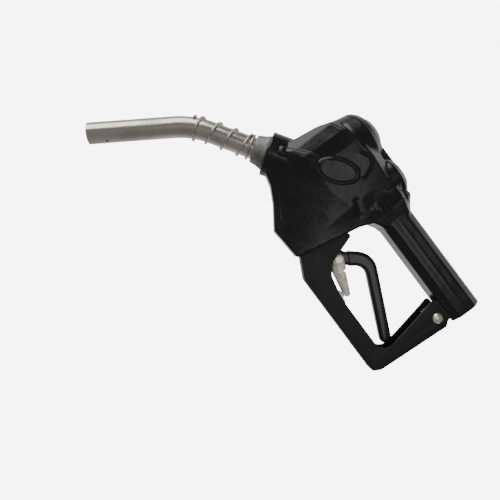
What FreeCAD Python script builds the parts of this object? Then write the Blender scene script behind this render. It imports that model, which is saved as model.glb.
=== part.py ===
"""Automatic fuel nozzle: a parametric FreeCAD document, one solid per physical piece.

Millimetres. Origin at the centre of the hose inlet face, +X out of the inlet
along the handle, +Z up, Y across. The spout leaves towards -X and -Z.
"""
import FreeCAD, Part
import os
import math
import Sketcher

os.makedirs("parts", exist_ok=True)
V = FreeCAD.Vector
doc = FreeCAD.newDocument("FuelNozzle")

# ---------------------------------------------------------------- driving sizes
SIZES = {
    # cover and fits
    "cover_wall": 2.5, "slide_gap": 0.3, "pin_gap": 0.05, "seat_gap": 0.15,
    # handle
    "handle_half": 18, "handle_top": 18.25, "handle_bore": 10,
    "inlet_radius": 12.3, "inlet_depth": 15, "seal_thick": 2,
    "seal_radius": 12.9, "cover_setback": 1,
    "lug_front": 24, "lug_rear": 3.6, "lug_half": 9.5, "lug_low": 36,
    # front (shut-off) chamber
    "front_x": 217.7, "front_radius": 33, "front_top": 40.5, "cap_joint": 22,
    "front_wall": 12, "front_floor": 15, "lid_screw_inset": 9.2, "diaphragm_thick": 1,
    # rear (main valve) chamber
    "main_x": 164.5, "main_radius": 24.5, "main_top": 35, "main_bore": 16,
    "seat_level": 12, "seat_bore": 9, "seat_thick": 4, "outlet_bore": 13,
    "outlet_floor": 34, "packing_bore": 6, "stem_radius": 2.5,
    # body flanks
    "keel_half": 14.8, "cheek_half": 9.6, "slot_half": 6.8,
    # spout
    "collar_x": 279.5, "collar_z": 77.25, "spout_pitch": 32.7, "spout_bend": 24.8,
    "spout_lead": 71, "spout_tail": 115.3, "spout_bend_radius": 97,
    "spout_radius": 11.9, "spout_wall": 1.6, "nose_radius": 24.5, "nose_face": 15,
    "nose_lip": 2, "nose_back": 60, "nose_bore": 15, "nose_bore_back": 50,
    "collar_large": 19.2, "collar_small": 15.4, "collar_spigot": 8,
    "vent_radius": 2, "vent_wall": 0.6, "vent_offset": 7, "port_radius": 2,
    "port_back": 21, "port_lean": 25,
    "spring_wire": 1.1, "spring_ring": 13.3, "spring_near": 3.4, "spring_far": 70,
    "spring_pitch": 18.5,
    # check valve
    "check_bore": 8, "check_disc": 10, "check_wire": 0.6,
    # latch
    "plunger_radius": 5.5, "plunger_top": 12,
    "plunger_wire": 0.6, "hollow_radius": 3.2, "ball_radius": 1.9,
    "tang_half": 2,
    # lever
    "pivot_z": 74, "pivot_pin": 2.5, "eye_radius": 6.5, "lever_half": 5,
    "fork_gap": 2.4, "sleeve_wall": 1,
    # clip
    "clip_x": 126.2, "clip_z": 76.3, "clip_inner": 5.3, "clip_outer": 6.9,
    "clip_eye": 5.8, "clip_rivet": 2.5,
    # guard
    "guard_half": 12.2, "guard_wall": 2.4, "guard_floor": 119.6, "guard_front": 186,
    "screw_x": 12.9, "screw_z": 29.3, "screw_radius": 2.5, "dome_radius": 5.9,
    "rack_front": 102, "rack_rear": 70, "rack_base": 2, "rack_outer": 9.7,
    "rack_inner": 7.4, "rivet_radius": 1.8, "front_screw_x": 176, "front_screw_z": 88,
}
sheet = doc.addObject("Spreadsheet::Sheet", "Sizes")
for row, (alias, number) in enumerate(SIZES.items(), start=1):
    sheet.set("A%d" % row, alias)
    sheet.set("B%d" % row, str(number))
    sheet.setAlias("B%d" % row, alias)
doc.recompute()

nodes = []


def expression(text):
    """The text with every sheet alias written as Sizes.alias."""
    out = []
    word = ""
    for letter in str(text) + " ":
        if letter.isalnum() or letter == "_":
            word += letter
            continue
        out.append("Sizes." + word if word in SIZES else word)
        out.append(letter)
        word = ""
    return "".join(out).strip()


def size(text):
    """The value of an expression of the sheet, in mm or degrees."""
    return float(sheet.evalExpression(expression(text)))


def bind(thing, prop, text):
    thing.setExpression(prop, expression(text))


def place(thing, x="0", y="0", z="0", axis=None, angle="0"):
    """Place an object with its position and turn bound to the sheet."""
    spin = FreeCAD.Rotation(axis, size(angle)) if axis else FreeCAD.Rotation()
    thing.Placement = FreeCAD.Placement(V(size(x), size(y), size(z)), spin)
    bind(thing, "Placement.Base.x", x)
    bind(thing, "Placement.Base.y", y)
    bind(thing, "Placement.Base.z", z)
    if axis:
        bind(thing, "Placement.Rotation.Angle", angle)
    return thing


def along_nose(thing, back="0"):
    """Lay local +Z along the spout's first axis, zero at the collar's small end."""
    return place(thing, "-collar_x + (%s)*cos(spout_pitch)" % back, "0",
                 "-collar_z + (%s)*sin(spout_pitch)" % back,
                 V(0, -1, 0), "90 + spout_pitch")


def outline(body, plane, name, points):
    """A closed sketch of straight sides whose corners are bound to the sheet."""
    sketch = body.newObject("Sketcher::SketchObject", name)
    face = [item for item in body.Origin.OriginFeatures if item.Role == plane][0]
    sketch.AttachmentSupport = (face, [""])
    sketch.MapMode = "FlatFace"
    return draw_outline(sketch, points)


def draw_outline(sketch, points):
    """Straight sides between corners that are bound to the sheet."""
    values = [V(size(u), size(v), 0) for u, v in points]
    count = len(points)
    sides = [Part.LineSegment(values[i], values[(i + 1) % count]) for i in range(count)]
    sketch.addGeometry(sides, False)
    joins = [Sketcher.Constraint("Coincident", i, 2, (i + 1) % count, 1) for i in range(count)]
    sketch.addConstraint(joins)
    for i, (u, v) in enumerate(points):
        for kind, tag, text in (("DistanceX", "u", u), ("DistanceY", "v", v)):
            rule = Sketcher.Constraint(kind, -1, 1, i, 1, size(text))
            index = sketch.addConstraint(rule)
            sketch.renameConstraint(index, "%s%d" % (tag, i))
            bind(sketch, "Constraints.%s%d" % (tag, i), text)
    return sketch


def new_body(label):
    body = doc.addObject("PartDesign::Body", label)
    body.Label = label
    return body


def turned(label, profile):
    """A turned piece: radius and height pairs revolved about the local Z axis."""
    body = new_body(label)
    sketch = outline(body, "XZ_Plane", label + "_profile", profile)
    spin = body.newObject("PartDesign::Revolution", label + "_turn")
    spin.Profile = sketch
    spin.ReferenceAxis = (sketch, ["V_Axis"])
    spin.Angle = 360
    doc.recompute()
    return body


def ring(label, inner, outer, low, high):
    """A turned ring between two radii and two heights."""
    return turned(label, [(inner, low), (outer, low), (outer, high), (inner, high)])


def corner_edges(shape, spots, reach=0.4):
    """Names of the edges along Y that pass through the named (x, z) spots."""
    names = []
    for number, edge in enumerate(shape.Edges, start=1):
        box = edge.BoundBox
        if box.XLength > 0.01 or box.ZLength > 0.01:
            continue
        for x, z in spots:
            if math.hypot(box.Center.x - size(x), box.Center.z - size(z)) < reach:
                names.append("Edge%d" % number)
    return names


def plate(label, points, half, rounds=()):
    """A flat piece cut to an XZ outline, half wide each side of the middle plane."""
    body = new_body(label)
    sketch = outline(body, "XZ_Plane", label + "_outline", points)
    pad = body.newObject("PartDesign::Pad", label + "_pad")
    pad.Profile = sketch
    pad.Midplane = True
    bind(pad, "Length", "2*(%s)" % half)
    doc.recompute()
    last = pad
    for index, (radius, spots) in enumerate(rounds):
        bend = body.newObject("PartDesign::Fillet", "%s_round%d" % (label, index))
        bend.Base = (last, corner_edges(last.Shape, spots))
        bend.Radius = size(radius)
        bind(bend, "Radius", radius)
        doc.recompute()
        last = bend
    return body


def cylinder(label, radius, height):
    tool = doc.addObject("Part::Cylinder", label)
    bind(tool, "Radius", radius)
    bind(tool, "Height", height)
    return tool


def box(label, x0, x1, y0, y1, z0, z1):
    """A box between bound limits."""
    tool = doc.addObject("Part::Box", label)
    bind(tool, "Length", "(%s) - (%s)" % (x1, x0))
    bind(tool, "Width", "(%s) - (%s)" % (y1, y0))
    bind(tool, "Height", "(%s) - (%s)" % (z1, z0))
    return place(tool, x0, y0, z0)


def across(label, radius, x, z, y0, y1):
    """A cylinder across the nozzle, along Y."""
    tool = cylinder(label, radius, "(%s) - (%s)" % (y1, y0))
    return place(tool, x, y0, z, V(1, 0, 0), "-90")


def upright(label, radius, x, z0, z1, y="0"):
    return place(cylinder(label, radius, "(%s) - (%s)" % (z1, z0)), x, y, z0)


def fuse(label, items):
    union = doc.addObject("Part::MultiFuse", label)
    union.Shapes = items
    doc.recompute()
    return union


def cut(label, base, tools):
    tool = tools[0] if len(tools) == 1 else fuse(label + "_tools", tools)
    result = doc.addObject("Part::Cut", label)
    result.Base = base
    result.Tool = tool
    doc.recompute()
    return result


def node(thing, label):
    """Name a finished piece; its label names its file."""
    thing.Label = label
    nodes.append(thing)
    return thing


def feature(label, shape):
    """A piece whose shape is set with Part's own functions."""
    item = doc.addObject("Part::Feature", label)
    item.Shape = shape
    return item


def nose_point(s, lift=0.0):
    """A point s along the spout's first axis and lift above it, in the row frame."""
    pitch = math.radians(size("spout_pitch"))
    return V(-size("collar_x") - s * math.cos(pitch) - lift * math.sin(pitch), 0,
             -size("collar_z") - s * math.sin(pitch) + lift * math.cos(pitch))


def spout_path(offset, start, stop):
    """Line, bend and line, offset towards the underside, stopping short of the tip."""
    pitch = math.radians(size("spout_pitch"))
    bend = math.radians(size("spout_bend"))
    radius = size("spout_bend_radius")
    run = radius * math.tan(bend / 2)
    lead = size("spout_lead") - run
    tail = size("spout_tail") - run - stop
    centre = nose_point(lead, -radius)
    inner = radius - offset

    def on_arc(turn):
        angle = pitch + turn
        return centre + V(-math.sin(angle), 0, math.cos(angle)) * inner
    first = nose_point(start, -offset)
    heading = V(-math.cos(pitch + bend), 0, -math.sin(pitch + bend))
    last = on_arc(bend) + heading * tail
    return Part.Wire([Part.LineSegment(first, on_arc(0)).toShape(),
                      Part.Arc(on_arc(0), on_arc(bend / 2), on_arc(bend)).toShape(),
                      Part.LineSegment(on_arc(bend), last).toShape()])


def tube(path, start, radius):
    """A round bar along a path that starts at start."""
    heading = path.Edges[0].tangentAt(path.Edges[0].FirstParameter)
    rim = Part.Wire([Part.Circle(start, heading, radius).toShape()])
    return path.makePipeShell([rim], True, True)


def coil(label, radius, wire, low, high, turns):
    """A round-wire compression spring about local Z."""
    base = size(low) + size(wire)
    rise = size(high) - size(low) - 2 * size(wire)
    count = int(turns * 12)
    spots = []
    for index in range(count + 1):
        angle = 2 * math.pi * turns * index / count
        spots.append(V(size(radius) * math.cos(angle), size(radius) * math.sin(angle),
                       base + rise * index / count))
    line = Part.BSplineCurve()
    line.interpolate(spots)
    edge = line.toShape()
    rim = Part.Wire([Part.Circle(spots[0], edge.tangentAt(edge.FirstParameter), size(wire)).toShape()])
    return feature(label, Part.Wire([edge]).makePipeShell([rim], True, True))


# ---------------------------------------------------------------- body form
# place along the handle, then height and half width of four corners, from the top edge down
STATIONS = [
    ("-259.5", ("-37", "10"), ("-45", "nose_radius - 5"), ("-60", "nose_radius - 5"), ("-73", "11")),
    ("-255.5", ("-7", "11"), ("-17", "nose_radius - 2"), ("-58", "nose_radius - 2"), ("-81.5", "11")),
    ("-249", ("12", "13"), ("0", "front_radius - 6.5"), ("-52", "front_radius - 6.5"), ("-84.5", "12")),
    ("-235", ("20", "18"), ("6", "front_radius - 2"), ("-46", "front_radius - 2"), ("-88", "13")),
    ("-front_x", ("25", "22"), ("12.5", "front_radius + 0.4"), ("-42", "front_radius + 0.3"),
     ("-97", "13.5")),
    ("-193", ("25", "20"), ("14", "front_radius - 2"), ("-42", "front_radius - 4"), ("-114", "keel_half")),
    ("-main_x", ("24", "16"), ("13.5", "main_radius + 1"), ("-35", "main_radius + 0.6"),
     ("-112", "keel_half")),
    ("-138", ("28", "12"), ("15", "handle_half + 2.5"), ("-22", "handle_half + 2"), ("-110", "keel_half")),
    ("-122", ("handle_top - 0.4", "7"), ("13", "handle_half - 0.6"), ("-13", "handle_half - 0.6"),
     ("-handle_top + 0.5", "13.5")),
]


def station(name, row, inset):
    """An eight-cornered section across the body, drawn in by inset."""
    drawn_in = [("- (%s)/2", "- (%s)"), ("- (%s)", "- (%s)/2"), ("- (%s)", "+ (%s)/4"), ("- (%s)/2", "+ (%s)")]
    near = [(half + across_shift % inset, level + height_shift % inset)
            for (level, half), (across_shift, height_shift) in zip(row[1:], drawn_in)]
    far = [("-(%s)" % across_way, height) for across_way, height in reversed(near)]
    sketch = doc.addObject("Sketcher::SketchObject", name)
    face = "%s + (%s)" % (row[0], inset) if row is STATIONS[0] else row[0]
    place(sketch, face, "0", "0", V(1, 1, 1), "120")
    return draw_outline(sketch, near + far)


def form(tag, inset):
    """The outside of the body, drawn in by inset: cover at 0, casting at the wall."""
    pieces = []
    section = [("13", "-handle_top"), ("handle_half", "-9.5"),
               ("handle_half", "9.25"), ("13", "15.75"), ("8", "handle_top")]
    shrink = "(1 - (%s)/handle_half)" % inset
    right = [("(%s)*%s" % (u, shrink), "(%s)*%s" % (v, shrink)) for u, v in section]
    left = [("-(%s)*%s" % (u, shrink), "(%s)*%s" % (v, shrink)) for u, v in reversed(section)]
    grip = new_body(tag + "_grip")
    sketch = outline(grip, "YZ_Plane", tag + "_grip_section", right + left)
    pad = grip.newObject("PartDesign::Pad", tag + "_grip_pad")
    pad.Profile = sketch
    pad.Reversed = True
    bind(pad, "Length", "main_x")
    pieces.append(grip)
    chamber = turned(tag + "_front", [
        ("0", "-76 + (%s)" % inset), ("front_radius - 21 - (%s)" % inset, "-76 + (%s)" % inset),
        ("front_radius - 6 - (%s)" % inset, "-54 + (%s)/2" % inset), ("front_radius - (%s)" % inset, "-36"),
        ("front_radius - (%s)" % inset, "12"), ("front_radius - 2.5 - (%s)" % inset, "26"),
        ("front_radius - 7.5 - (%s)" % inset, "32"),
        ("front_radius - 19 - (%s)/2" % inset, "39 - (%s)" % inset),
        ("0", "front_top - (%s)" % inset)])
    pieces.append(place(chamber, "-front_x"))
    valve = turned(tag + "_rear", [
        ("0", "-46 + (%s)" % inset), ("main_radius - 7.5 - (%s)" % inset, "-46 + (%s)" % inset),
        ("main_radius - (%s)" % inset, "-32"), ("main_radius - (%s)" % inset, "27"),
        ("main_radius - 2.5 - (%s)" % inset, "29.5 - (%s)/2" % inset),
        ("main_radius - 7.5 - (%s)" % inset, "33.5 - (%s)" % inset), ("0", "main_top - (%s)" % inset)])
    pieces.append(place(valve, "-main_x"))
    neck = turned(tag + "_neck", [
        ("0", "-85"), ("13 - (%s)" % inset, "-85"), ("nose_radius - (%s)" % inset, "-nose_back"),
        ("nose_radius - (%s)" % inset, "-nose_face"), ("0", "-nose_face")])
    pieces.append(along_nose(neck))
    hull = doc.addObject("Part::Loft", tag + "_hull")
    hull.Sections = [station(tag + "_rib%d" % index, row, inset) for index, row in enumerate(STATIONS)]
    hull.Ruled = True
    hull.Solid = True
    doc.recompute()
    trim = plate(tag + "_trim", [
        ("-110", "-18.25 + (%s)" % inset), ("-127 - (%s)" % inset, "-18.9 + (%s)" % inset),
        ("-136.5 - (%s)" % inset, "-24.5 + (%s)/2" % inset), ("-142.1 - (%s)" % inset, "-39"),
        ("-147.9 - (%s)" % inset, "-70.3"), ("-156.4 - (%s)" % inset, "-114"),
        ("-157 - (%s)" % inset, "-130"), ("-90", "-130"), ("-90", "-18.25 + (%s)" % inset)], "50")
    pieces.append(cut(tag + "_trunk", hull, [trim]))
    return fuse(tag + "_form", pieces)


skin = form("skin", "0")
core = form("core", "cover_wall")

# ---------------------------------------------------------------- casting
cavities = [
    box("above_joint", "-260", "-131", "-40", "40", "cap_joint", "60"),
    place(cylinder("inlet_thread", "inlet_radius", "inlet_depth"), "0", "0", "0",
          V(0, 1, 0), "-90"),
    place(cylinder("handle_way", "handle_bore", "main_x"), "0", "0", "0", V(0, 1, 0), "-90"),
    place(cylinder("seal_seat", "seal_radius", "seal_thick"), "-inlet_depth", "0", "0",
          V(0, 1, 0), "-90"),
    box("inlet_face", "0", "20", "-40", "40", "-40", "40"),
    upright("front_room", "front_radius - front_wall", "-front_x", "front_floor", "60"),
    upright("latch_way", "plunger_radius + 2.7", "-front_x", "-30", "front_floor + 1"),
    upright("plunger_way", "plunger_radius + slide_gap", "-front_x", "-70", "-29"),
    upright("main_room", "main_bore", "-main_x", "-seat_level", "60"),
    upright("seat_way", "seat_bore", "-main_x", "-seat_level - seat_thick - 1", "0"),
    upright("outlet_room", "outlet_bore", "-main_x", "-outlet_floor", "-seat_level - seat_thick"),
    upright("packing_way", "packing_bore", "-main_x", "-60", "-outlet_floor - 4"),
    upright("stem_way", "stem_radius + slide_gap", "-main_x", "-60", "-outlet_floor + 1"),
    along_nose(cylinder("nose_way", "nose_bore", "60"), "nose_bore_back"),
    along_nose(cylinder("nose_end", "60", "60"), "nose_face + nose_lip"),
    across("screw_way", "screw_radius + 0.2", "-screw_x", "-screw_z", "-20", "20"),
    box("cheek_left", "-guard_front - 2", "-100", "-30", "-cheek_half", "-125", "-46"),
    box("cheek_right", "-guard_front - 2", "-100", "cheek_half", "30", "-125", "-46"),
    box("cheek_low", "-guard_front - 2", "-100", "-30", "30", "-125", "-103.6"),
    plate("lever_slot", [
        ("-front_x - 10", "-62"), ("-front_x - 10", "-pivot_z - 6"),
        ("-front_x - 3", "-pivot_z - 13.5"), ("-192", "-pivot_z - 13.5"),
        ("-186", "-125"), ("-100", "-125"), ("-100", "-40"), ("-140", "-45"), ("-190", "-60")],
        "slot_half"),
]
for index in range(4):
    x = "-front_x + (front_radius - lid_screw_inset)*cos(%d)" % (45 + 90 * index)
    y = "(front_radius - lid_screw_inset)*sin(%d)" % (45 + 90 * index)
    cavities.append(upright("lid_tap%d" % index, "1.6", x, "18", "cap_joint + 1", y))
for side in ("-1", "1"):
    cavities.append(across("cheek_tap" + side, "2", "-front_screw_x", "-front_screw_z",
                           "(%s)*8.3 - 1.5" % side, "(%s)*8.3 + 1.5" % side))
for name, side in (("gallery_near", "-1"), ("gallery_far", "1")):
    drill = cylinder(name, "4.2", "78")
    cavities.append(place(drill, "-main_x - 2", "(%s)*11.8" % side, "-26", V(0, -1, 0), "90 + 14.8"))
lug = box("lug_block", "-lug_front", "-lug_rear", "-lug_half", "lug_half", "-lug_low", "-13")
casting_block = fuse("casting_block", [core, lug])
node(cut("casting", casting_block, cavities), "body_casting")

# ---------------------------------------------------------------- cover
saddle = box("saddle", "-203", "-174", "-9", "9", "10", "main_top")
cover_block = fuse("cover_block", [skin, saddle])
lining = cut("lining", core, [
    box("lining_near", "-guard_front - 2", "-100", "-40", "-guard_half - 0.1", "-125", "-46"),
    box("lining_far", "-guard_front - 2", "-100", "guard_half + 0.1", "40", "-125", "-46")])
openings = [
    lining,
    box("cover_end", "-cover_setback", "20", "-40", "40", "-40", "40"),
    along_nose(cylinder("nose_window", "collar_large + 0.3", "40"), "nose_face + 10"),
    box("lug_window", "-lug_front - 0.2", "20", "-lug_half - 0.2", "lug_half + 0.2", "-40", "-10"),
    plate("guard_window", [
        ("-guard_front - 1", "-106.6"), ("-160.4", "-106.6"), ("-152.2", "-109.3"), ("-146", "-113"),
        ("-128", "-guard_floor - 4"),
        ("-100", "-guard_floor - 4"), ("-100", "-41"), ("-139", "-41"), ("-guard_front - 1", "-60")],
        "guard_half + 0.1"),
]
node(cut("cover", cover_block, openings), "hand_cover")

# ---------------------------------------------------------------- spout group
path = spout_path(0, -size("nose_face") - 14, 0)
start = nose_point(-size("nose_face") - 14)
outer = tube(path, start, size("spout_radius"))
inner = tube(path, start, size("spout_radius - spout_wall"))
tip_heading = path.Edges[2].tangentAt(path.Edges[2].LastParameter)
tip = path.Edges[2].valueAt(path.Edges[2].LastParameter)
under = V(-tip_heading.z, 0, tip_heading.x) * -1
if under.z > 0:
    under = under * -1
lean = math.radians(size("port_lean"))
port_way = under * math.cos(lean) + V(0, -1, 0) * math.sin(lean)
port_seat = tip - tip_heading * size("port_back")
port_drill = Part.makeCylinder(size("port_radius"), 30, port_seat, port_way)
node(feature("spout", outer.cut(inner).cut(port_drill)), "spout_tube")
rim_outer = Part.makeCylinder(size("port_radius"), size("spout_wall") + 0.3,
                              port_seat + port_way * size("spout_radius - spout_wall - 0.4"), port_way)
rim_inner = Part.makeCylinder(size("port_radius - 0.6"), 30, port_seat, port_way)
node(feature("port_rim", rim_outer.cut(rim_inner)), "sense_port_ferrule")
vent_start = nose_point(-size("nose_face") - 14, -size("vent_offset"))
vent_path = spout_path(size("vent_offset"), -size("nose_face") - 14, size("port_back - 6"))
vent = tube(vent_path, vent_start, size("vent_radius"))
vent = vent.cut(tube(vent_path, vent_start, size("vent_radius - vent_wall")))
node(feature("vent", vent), "vent_tube")

collar = turned("collar", [
    ("spout_radius", "-nose_face - collar_spigot + 0"), ("nose_bore - 0.1", "-nose_face - collar_spigot"),
    ("nose_bore - 0.1", "-nose_face - nose_lip"), ("collar_large", "-nose_face - nose_lip"),
    ("collar_large", "-nose_face + 1.5"), ("collar_large - 1.6", "-nose_face + 5"),
    ("collar_small + 0.3", "-2"), ("collar_small - 0.6", "0"), ("spout_radius", "0")])
node(cut("collar_cut", along_nose(collar), [along_nose(
    ring("collar_groove", "nose_bore - 1.8", "nose_bore + 5", "-nose_face - 6.2", "-nose_face - 4.2"))]),
    "spout_collar")
node(along_nose(ring("collar_seal", "nose_bore - 1.8", "nose_bore", "-nose_face - 6.2",
                     "-nose_face - 4.2")), "collar_o_ring")
node(along_nose(turned("bushing", [
    ("9", "-32"), ("nose_bore - 0.1", "-32"), ("nose_bore - 0.1", "-nose_face - collar_spigot"),
    ("spout_radius", "-nose_face - collar_spigot"), ("spout_radius", "-nose_face - 14"),
    ("9", "-nose_face - 14")])), "spout_bushing")
node(along_nose(turned("check_seat", [
    ("check_bore", "-nose_bore_back"), ("nose_bore", "-nose_bore_back"), ("nose_bore", "-46"),
    ("check_bore + 1", "-46"), ("check_bore", "-47")])), "check_valve_seat")
node(along_nose(turned("check_disc", [
    ("0", "-48.5"), ("3", "-48.5"), ("check_bore - 1", "-46 + seat_gap"),
    ("check_disc", "-46 + seat_gap"), ("check_disc", "-43"), ("4", "-43"), ("3.2", "-39.5"),
    ("0", "-39.5")])), "check_valve_poppet")
node(along_nose(coil("check_coil", "7.5", "check_wire", "-42.8", "-32.1", 4.5)), "check_valve_spring")


def spout_frame(s):
    """Point and heading s along the spout's centre line from the collar's small end."""
    centre = spout_path(0, 0, 0)
    gone = 0.0
    for edge in centre.Edges:
        if s <= gone + edge.Length or edge is centre.Edges[2]:
            spot = edge.getParameterByLength(min(s - gone, edge.Length))
            return edge.valueAt(spot), edge.tangentAt(spot)
        gone += edge.Length


def wire_coil():
    """The open coil on the root of the spout: closed ends, even pitch, along the bend."""
    near = size("spring_near")
    far = size("spring_far")
    pitch = size("spring_pitch")
    closed = 2 * size("spring_wire") + 0.1
    spots = []
    turn = 0.0
    s = near
    step = 1.0 / 16
    while s < far:
        close = turn < 1.0 or s > far - closed
        point, heading = spout_frame(s)
        side = V(0, 1, 0)
        up = side.cross(heading)
        angle = 2 * math.pi * turn
        spots.append(point + (up * math.cos(angle) + side * math.sin(angle)) * size("spring_ring"))
        s += (closed if close else pitch) * step
        turn += step
    line = Part.BSplineCurve()
    line.interpolate(spots)
    edge = line.toShape()
    rim = Part.Wire([Part.Circle(spots[0], edge.tangentAt(edge.FirstParameter),
                                 size("spring_wire")).toShape()])
    return Part.Wire([edge]).makePipeShell([rim], True, True)


node(feature("spout_coil", wire_coil()), "spout_spring")

# ---------------------------------------------------------------- front chamber
lid_form = doc.addObject("Part::Common", "lid_form")
lid_form.Base = core
lid_form.Tool = upright("lid_zone", "front_radius - 4", "-front_x", "cap_joint + diaphragm_thick", "60")
doc.recompute()
lid_holes = [place(turned("lid_room", [
    ("0", "0"), ("front_radius - 13", "0"), ("front_radius - 13", "29"), ("front_radius - 17", "33"),
    ("6", "36"), ("0", "36")]), "-front_x")]
lid_screws = []
web_holes = [upright("web_eye", "3.4", "-front_x", "10", "40")]
for index in range(4):
    x = "-front_x + (front_radius - lid_screw_inset)*cos(%d)" % (45 + 90 * index)
    y = "(front_radius - lid_screw_inset)*sin(%d)" % (45 + 90 * index)
    lid_holes.append(upright("lid_hole%d" % index, "1.6", x, "10", "40", y))
    lid_holes.append(upright("lid_recess%d" % index, "3", x, "25.2", "50", y))
    web_holes.append(upright("web_hole%d" % index, "1.6", x, "10", "40", y))
    lid_screws.append(fuse("lid_screw%d" % index, [
        upright("lid_shank%d" % index, "1.6", x, "18.2", "25.5", y),
        upright("lid_head%d" % index, "2.8", x, "25.2", "26.8", y)]))
node(cut("lid", lid_form, lid_holes), "vacuum_cap")
compound = doc.addObject("Part::Compound", "lid_screw_set")
compound.Links = lid_screws
node(compound, "vacuum_cap_screws")
node(cut("web", upright("web_disc", "front_radius - 4.8", "-front_x", "cap_joint", "cap_joint + diaphragm_thick"),
         web_holes), "diaphragm")
node(place(turned("latch_pin", [
    ("0", "-8"), ("1.6", "-8"), ("2", "-7"), ("2", "9"), ("2.8", "10"), ("2.8", "23.3"),
    ("12", "23.3"), ("12", "24.3"), ("4", "24.8"), ("4", "26"), ("0", "26")]), "-front_x"),
    "diaphragm_pin")
node(place(coil("web_coil", "6", "0.5", "24.9", "35.9", 5), "-front_x"), "diaphragm_spring")

rod = place(turned("rod", [
    ("0", "-64"), ("plunger_radius", "-64"), ("plunger_radius", "-8"), ("7.6", "-8"),
    ("7.6", "-5"), ("plunger_radius", "-5"), ("plunger_radius", "plunger_top"),
    ("hollow_radius", "plunger_top"), ("hollow_radius", "-12"), ("0", "-12")]), "-front_x")
tang = box("tang", "-front_x - plunger_radius", "-front_x + plunger_radius", "-tang_half",
           "tang_half", "-pivot_z", "-63")
tang_end = across("tang_end", "plunger_radius", "-front_x", "-pivot_z", "-tang_half", "tang_half")
rod_cuts = [across("tang_hole", "pivot_pin", "-front_x", "-pivot_z", "-20", "20")]
balls = []
for index in range(3):
    turn = "%d" % (90 + 120 * index)
    x = "-front_x + 4*cos(%s)" % turn
    y = "4*sin(%s)" % turn
    ball = doc.addObject("Part::Sphere", "ball%d" % index)
    bind(ball, "Radius", "ball_radius")
    balls.append(place(ball, x, y, "5"))
    seat = doc.addObject("Part::Sphere", "ball_seat%d" % index)
    bind(seat, "Radius", "ball_radius")
    rod_cuts.append(place(seat, x, y, "5"))
node(cut("plunger", fuse("plunger_block", [rod, tang, tang_end]), rod_cuts), "latch_plunger")
ball_set = doc.addObject("Part::Compound", "ball_set")
ball_set.Links = balls
node(ball_set, "latch_balls")
node(place(ring("latch_seat", "6.3", "plunger_radius + 2.7", "-2", "2"), "-front_x"), "latch_ring")
node(place(coil("plunger_coil", "6.9", "plunger_wire", "-29.9", "-8.1", 6), "-front_x"),
     "plunger_spring")
node(across("pivot", "pivot_pin", "-front_x", "-pivot_z", "-6", "6"), "lever_pivot_pin")

# ---------------------------------------------------------------- main valve
cap_form = doc.addObject("Part::Common", "cap_form")
cap_form.Base = core
cap_form.Tool = upright("cap_zone", "main_radius - 1.5", "-main_x", "cap_joint", "60")
doc.recompute()
cap_block = fuse("cap_block", [cap_form, upright("cap_spigot", "main_bore", "-main_x", "14",
                                                  "cap_joint + 1")])
node(cut("cap_cut", cap_block, [
    upright("cap_room", "12", "-main_x", "10", "30"),
    place(ring("cap_groove", "main_bore - 1.8", "main_bore + 1", "17", "19"), "-main_x")]), "main_cap")
node(place(ring("cap_seal", "main_bore - 1.8", "main_bore", "17", "19"), "-main_x"), "main_cap_o_ring")
node(place(turned("poppet", [
    ("stem_radius", "-10.2"), ("12", "-10.2"), ("12", "-7.5"), ("7", "-6.5"), ("5", "-2"),
    ("stem_radius", "-2")]), "-main_x"), "main_poppet")
node(place(ring("disc", "stem_radius", "11.5", "-seat_level + seat_gap", "-10.2"), "-main_x"),
     "poppet_disc")
node(place(turned("stem", [
    ("0", "-67.2"), ("1.2", "-66.9"), ("2.2", "-66"), ("stem_radius", "-64.8"),
    ("stem_radius", "-1"), ("0", "-1")]), "-main_x"), "valve_stem")
node(place(coil("main_coil", "9.5", "1", "-6.2", "29.9", 6), "-main_x"), "main_valve_spring")
node(place(ring("packing", "stem_radius + pin_gap", "packing_bore", "-43", "-outlet_floor - 4"),
           "-main_x"), "stem_packing")
node(place(ring("nut", "stem_radius + slide_gap", "packing_bore", "-50", "-43"), "-main_x"),
     "packing_nut")
node(place(ring("seal", "handle_bore", "seal_radius", "-inlet_depth - seal_thick", "-inlet_depth"),
           "0", "0", "0", V(0, 1, 0), "90"), "inlet_seal")

# ---------------------------------------------------------------- lever
bar = plate("bar", [
    ("-front_x", "-pivot_z + eye_radius"), ("-130.7", "-pivot_z + eye_radius"),
    ("-108.69", "-41.83"), ("-21.2", "-83.4"), ("-25.4", "-91.9"), ("-104.55", "-55.24"),
    ("-121.9", "-pivot_z - eye_radius"), ("-front_x", "-pivot_z - eye_radius")], "lever_half",
    [("6", [("-130.7", "-pivot_z + eye_radius"), ("-121.9", "-pivot_z - eye_radius")]),
     ("21", [("-108.69", "-41.83")]), ("13", [("-104.55", "-55.24")]),
     ("4", [("-21.2", "-83.4"), ("-25.4", "-91.9")])])
eye = across("lever_eye", "eye_radius", "-front_x", "-pivot_z", "-lever_half", "lever_half")
grip = plate("grip", [
    ("-128.7", "-63.3"), ("-108.95", "-40.6"), ("-19.6", "-82.7"), ("-24.7", "-93.3"),
    ("-104.2", "-56.5"), ("-114.8", "-72")], "lever_half + sleeve_wall",
    [("22", [("-108.95", "-40.6")]), ("12", [("-104.2", "-56.5")]),
     ("5", [("-19.6", "-82.7"), ("-24.7", "-93.3")])])
lever_block = fuse("lever_block", [bar, eye])
node(cut("lever_cut", lever_block, [
    box("fork", "-front_x - 20", "-front_x + 13", "-fork_gap", "fork_gap", "-90", "-60"),
    across("pivot_hole", "pivot_pin + pin_gap", "-front_x", "-pivot_z", "-20", "20"),
    across("rivet_hole", "clip_rivet", "-clip_x", "-clip_z", "-20", "20")]), "lever")
node(cut("sleeve", grip, [bar]), "lever_sleeve")

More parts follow.
